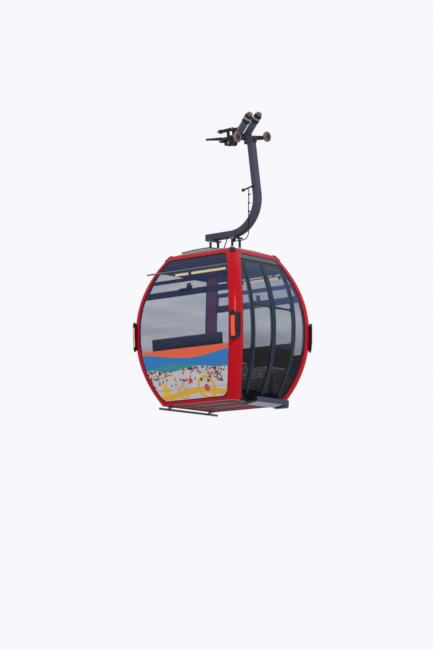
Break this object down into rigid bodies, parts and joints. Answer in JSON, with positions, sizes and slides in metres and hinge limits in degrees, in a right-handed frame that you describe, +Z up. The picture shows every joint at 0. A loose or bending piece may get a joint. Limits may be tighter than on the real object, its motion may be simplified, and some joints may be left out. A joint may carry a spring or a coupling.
{
  "type": "gondola cable car cabin with hanger and detachable rope grip",
  "caption": "Bulging glazed cable car cabin in a red frame, hung by a curved arm from a rope grip with running wheels.",
  "frame": {"origin": "centre of the rope in the grip's jaws", "axes": "+X along the line, down the rope's slope; +Y door side; +Z up"},
  "size_m": [1.8882, 2.132, 4.5322],
  "materials": {
    "aluminium": "brushed",
    "black_rubber": "matt",
    "bright_steel": "turned",
    "dark_panel": "gloss",
    "dark_steel": "satin",
    "door_paint": "satin paint",
    "floor_plate": "chequered underside",
    "grey_panel": "satin",
    "grip_steel": "painted casting",
    "hanger_paint": "weathered zinc",
    "lamp": "lit diffuser",
    "lens": "clear orange-red",
    "liner": "matt",
    "red_paint": "gloss paint",
    "roller_plastic": "matt",
    "seat_back": "satin",
    "seat_plastic": "satin",
    "spring_paint": "blue-grey paint",
    "step_paint": "satin paint",
    "tinted_glass": "tinted",
    "wheel_rubber": "matt"
  },
  "bodies": {
    "grip": {"grip_body": "grip_steel", "jaw_pin": "bright_steel", "rope_tongues": "dark_steel", "wheel_carrier": "grip_steel", "spring_tubes": "spring_paint", "spring_caps": "dark_steel", "spring_seat": "grip_steel"},
    "jaw": {"moving_jaw": "dark_steel", "release_lever": "dark_steel"},
    "lever_roller": {"lever_roller": "roller_plastic"},
    "wheel_front": {"running_wheel_front": "wheel_rubber"},
    "wheel_rear": {"running_wheel_rear": "wheel_rubber"},
    "cabin": {"backrests": "seat_back", "bench_legs": "dark_steel", "bench_seats": "seat_plastic", "bottom_frame": "red_paint", "bumper_lenses": "lens", "bumpers": "black_rubber", "cable_holders": "dark_steel", "ceiling": "liner", "ceiling_lamps": "lamp", "control_cable": "black_rubber", "corner_caps": "grey_panel", "corner_posts": "red_paint", "door_glass_front": "tinted_glass", "door_glass_rear": "tinted_glass", "door_header": "dark_panel", "door_leaf_front": "door_paint", "door_leaf_rear": "door_paint", "door_sill": "door_paint", "door_step": "step_paint", "door_surround": "door_paint", "end_rails": "aluminium", "floor": "floor_plate", "guide_rail": "aluminium", "hanger_arm": "hanger_paint", "roof": "grey_panel", "roof_box": "grey_panel", "roof_cover": "grey_panel", "side_panes": "tinted_glass", "suspension_plates": "dark_steel", "suspension_struts": "dark_steel", "top_frame": "red_paint", "vent_frames": "black_rubber", "vent_latches": "dark_steel", "window_back": "tinted_glass", "window_front": "tinted_glass", "window_headers": "dark_panel", "window_rear": "tinted_glass", "window_seals": "black_rubber"}
  },
  "joints": [
    {"name": "hanger_swing", "type": "hinge", "parent": "grip", "child": "cabin", "pos_m": [0, 0.50701, -0.075], "axis": [0, 1, 0], "range_deg": [-34.5, 55.5]},
    {"name": "jaw_open", "type": "hinge", "parent": "grip", "child": "jaw", "pos_m": [-0.01057, 0.116, -0.05703], "axis": [0.9833, 0, -0.1822], "range_deg": [0, 15], "stiffness_Nm_per_rad": 800, "springref_deg": -17.19},
    {"name": "lever_roller_spin", "type": "hinge", "parent": "jaw", "child": "lever_roller", "pos_m": [0.02588, -0.08, 0.13962], "axis": [0.9833, 0, -0.1822], "continuous": true},
    {"name": "wheel_front_spin", "type": "hinge", "parent": "grip", "child": "wheel_front", "pos_m": [0.34851, 0.525, -0.0951], "axis": [0, 1, 0], "continuous": true},
    {"name": "wheel_rear_spin", "type": "hinge", "parent": "grip", "child": "wheel_rear", "pos_m": [-0.35944, 0.525, 0.03611], "axis": [0, 1, 0], "continuous": true}
  ]
}
